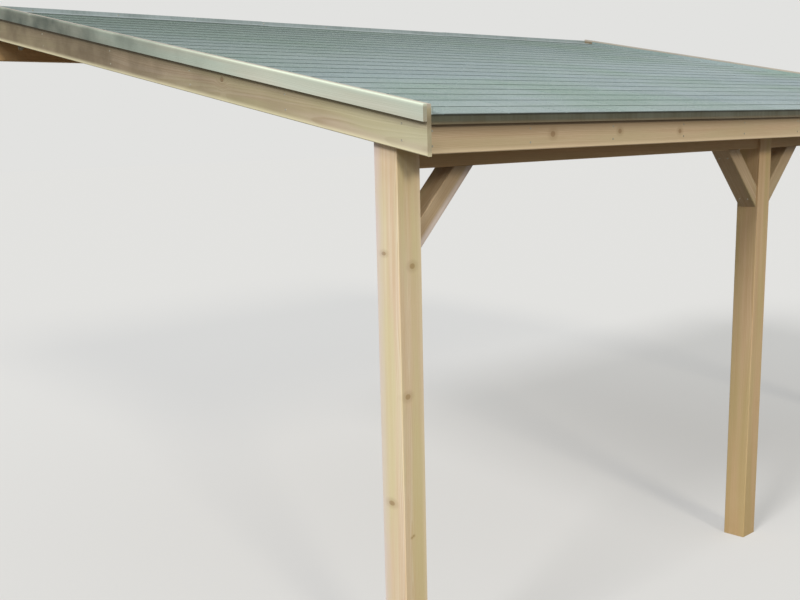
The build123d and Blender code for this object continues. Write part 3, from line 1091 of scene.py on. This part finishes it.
# %% Screws in the braces
brace_screws = bmesh.new()
BRACE_ENDS = (0.14, 0.86)
SCREW_PAIR = 0.022
for node, way in zip(BRACES, (1, -1, 1, -1)):
    low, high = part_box(node)
    foot = Vector((low.x if way > 0 else high.x, 0, low.z))
    head = Vector((high.x if way > 0 else low.x, 0, high.z))
    for share in BRACE_ENDS:
        for aside in (-SCREW_PAIR, SCREW_PAIR):
            spot = foot.lerp(head, share) + Vector((0, (low.y + high.y) / 2 + aside, 0))
            add_screw(brace_screws, spot, (way, 0, -1))
finish_piece("brace_screws", brace_screws, zinc)

# %% [markdown]
# The wall plate hangs on a row of anchors. Each shows a washer, a nut and the end of its rod.
# The record's mounts say how far apart they are, so the nuts sit over the plate's own holes.

# %% Anchors through the wall plate
anchors = bmesh.new()
plate_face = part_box("wall_plate")[0].y
WASHER = {"segments": 28, "radius1": 0.016, "radius2": 0.016, "depth": 0.0025}
NUT = {"segments": 6, "radius1": 0.0107, "radius2": 0.0107, "depth": 0.010}
ROD = {"segments": 16, "radius1": 0.006, "radius2": 0.0055, "depth": 0.030}
ANCHOR_BEVEL = 0.0006
ROD_SUNK = 0.012
LAY_DOWN = Matrix.Rotation(math.pi / 2, 4, "X")


def add_anchor(x):
    """Washer, nut and rod, standing out of the plate towards -Y."""
    face = plate_face
    for ring in (WASHER, NUT):
        middle = Matrix.Translation((x, face - ring["depth"] / 2, 0))
        made = bmesh.ops.create_cone(anchors, cap_ends=True, matrix=middle @ LAY_DOWN, **ring)["verts"]
        rims = [e for e in edges_of(made) if abs(e.verts[0].co.y - e.verts[1].co.y) < HAIR]
        bevel(anchors, rims, ANCHOR_BEVEL)
        face -= ring["depth"]
    middle = Matrix.Translation((x, plate_face - ROD["depth"] / 2 + ROD_SUNK, 0))
    bmesh.ops.create_cone(anchors, cap_ends=True, matrix=middle @ LAY_DOWN, **ROD)


for mount in frame["record"]["mounts"]:
    if mount["kind"] == "bolt_pattern":
        reach = mount["dims"]["spacing_x_mm"] / 2000
        add_anchor(-reach)
        add_anchor(reach)
finish_piece("anchor_nuts", anchors, zinc)

# %% [markdown]
# Two lamps stand so far off that they light the near and the far end alike. A wide angle keeps
# their shadows soft. The main one lights the open sides of the near post and the verge, while
# the roof keeps it off the middle post. The other is lower, in front, and puts the shadow of
# the eaves on the posts. What each sends down on level ground is kept, for the floor needs it.

# %% Lamps
SKY_STRENGTH, SKY_COLOUR = 0.46, (0.94, 0.97, 1.0)
on_the_floor = [SKY_STRENGTH * sum(SKY_COLOUR) / 3]


def hang_lamp(name, towards, wide, strength, colour):
    """A soft lamp far off in one direction. wide is the angle that it fills, in degrees."""
    light = bpy.data.lights.new(name, "SUN")
    light.angle = math.radians(wide)
    light.energy = strength
    light.color = colour
    add_object(name, light).matrix_world = aim(towards)
    on_the_floor.append(strength * sum(colour) / 3 * Vector(towards).normalized().z / math.pi)


hang_lamp("side_lamp", (-7.2, -1.2, 5.3), 17.0, 2.25, (1.0, 0.98, 0.96))
hang_lamp("front_lamp", (-3.4, -8.0, 3.9), 11.0, 1.32, (1.0, 0.93, 0.8))
print("light on the floor:", [round(part, 2) for part in on_the_floor])

# %% [markdown]
# A little studio: a pale floor under the posts and an even sky. What the camera sees of the
# floor is its light plus a small glow, which makes up what it lacks to meet the backdrop
# without a line. What it sends back to the timber is darker, so the roof keeps its shade.

# %% Floor and sky
FLOOR_SIZE, UNDER_POSTS = 60, 0.001
BACKDROP = paint(226, 226, 224)
FLOOR_SEEN = paint(176, 176, 175)
GLOW = 1 - sum(on_the_floor) * FLOOR_SEEN[0] / BACKDROP[0]


def seen_straight(tree):
    """1 for what the camera sees, also in a reflection, and 0 for light on its way."""
    rays = put(tree, "LightPath").outputs
    seen = sum_up(tree, "MAXIMUM", rays["Is Camera Ray"], rays["Is Glossy Ray"])
    return sum_up(tree, "MAXIMUM", seen, rays["Is Transmission Ray"])


pale, tree, surface = new_material("studio_floor")
matt = put(tree, "BsdfDiffuse", {"Color": FLOOR_SEEN}).outputs[0]
glow = put(tree, "Emission", {"Color": BACKDROP, "Strength": GLOW}).outputs[0]
shown = put(tree, "AddShader", {0: matt, 1: glow}).outputs[0]
sent = put(tree, "BsdfDiffuse", {"Color": paint(114, 107, 96)}).outputs[0]
mixed = put(tree, "MixShader", {0: seen_straight(tree), 1: sent, 2: shown}).outputs[0]
tree.links.new(mixed, tree.nodes["Material Output"].inputs["Surface"])
tree.nodes.remove(surface)

shape = bmesh.new()
bmesh.ops.create_grid(shape, x_segments=1, y_segments=1, size=FLOOR_SIZE)
bmesh.ops.translate(shape, vec=(0, 0, GROUND - UNDER_POSTS), verts=shape.verts)
floor = add_object("floor", new_mesh("floor", shape, pale))
print("the floor's glow:", round(GLOW, 2))

world = bpy.data.worlds.new("studio_sky")
bpy.context.scene.world = world
world.use_nodes = True
tree = world.node_tree
sky = tree.nodes["Background"]
sky.inputs["Color"].default_value = (*SKY_COLOUR, 1.0)
sky.inputs["Strength"].default_value = SKY_STRENGTH
backdrop = put(tree, "Background", {"Color": BACKDROP, "Strength": 1.0}).outputs[0]
mixed = put(tree, "MixShader", {0: seen_straight(tree), 1: sky.outputs[0], 2: backdrop}).outputs[0]
tree.links.new(mixed, tree.nodes["World Output"].inputs["Surface"])

# %% [markdown]
# The camera stands just off the near corner, at the height of the eaves, and looks along the
# open side. Its place, turn and lens were worked out from the edges of the posts and the roof.
# They also say that the lens axis meets the picture a little below its middle, and the shift
# allows for that.

# %% Camera
CAMERA_AT = Vector((-5.2705, -5.8427, GROUND + 2.1969))
YAW, TILT, ROLL = math.radians(46.08), math.radians(11.87), math.radians(1.30)
FOCAL_PIXELS, PICTURE_WIDTH, SENSOR = 1111.0, 800, 36.0
AXIS_BELOW_MIDDLE = 60

forward = Vector((
    math.cos(YAW) * math.cos(TILT),
    math.sin(YAW) * math.cos(TILT),
    -math.sin(TILT),
))
right = Vector((math.sin(YAW), -math.cos(YAW), 0))
down = forward.cross(right)
tilted_right = right * math.cos(ROLL) + down * math.sin(ROLL)
tilted_down = down * math.cos(ROLL) - right * math.sin(ROLL)
view = bpy.data.cameras.new("portrait")
view.sensor_width = SENSOR
view.lens = FOCAL_PIXELS / PICTURE_WIDTH * SENSOR
view.shift_y = AXIS_BELOW_MIDDLE / PICTURE_WIDTH
view.clip_end = 200
camera = add_object("portrait", view)
turn = Matrix((tilted_right, -tilted_down, -forward)).transposed()
camera.matrix_world = Matrix.Translation(CAMERA_AT) @ turn.to_4x4()
bpy.context.scene.camera = camera
bpy.context.scene.view_settings.view_transform = "Standard"
print("lens", round(view.lens, 2), "mm on a sensor of", SENSOR, "mm")
